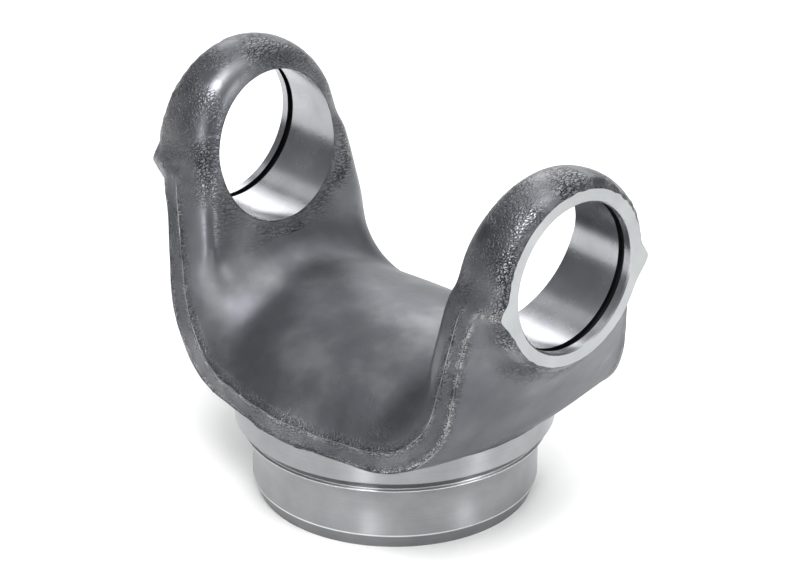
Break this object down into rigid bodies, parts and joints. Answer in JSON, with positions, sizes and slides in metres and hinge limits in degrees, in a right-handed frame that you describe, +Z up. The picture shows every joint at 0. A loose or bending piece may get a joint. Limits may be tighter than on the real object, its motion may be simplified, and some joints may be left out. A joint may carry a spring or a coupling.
{
  "type": "forged yoke",
  "caption": "Forged weld yoke for a drive shaft: upright ears with cross bores on a convex saddle, over a turned hub that enters the shaft's tube.",
  "frame": {"origin": "centre of the weld end, which the yoke stands on", "axes": "+X along the cross bores, +Z up the shaft's axis from the weld end to the ears"},
  "size_m": [0.0984, 0.064, 0.0829],
  "materials": {
    "forged_steel": "dark grey forged skin, with bright machined bores, ear faces, weld shoulder and pilot"
  },
  "bodies": {
    "root": {"forged_yoke": "forged_steel"}
  },
  "joints": []
}
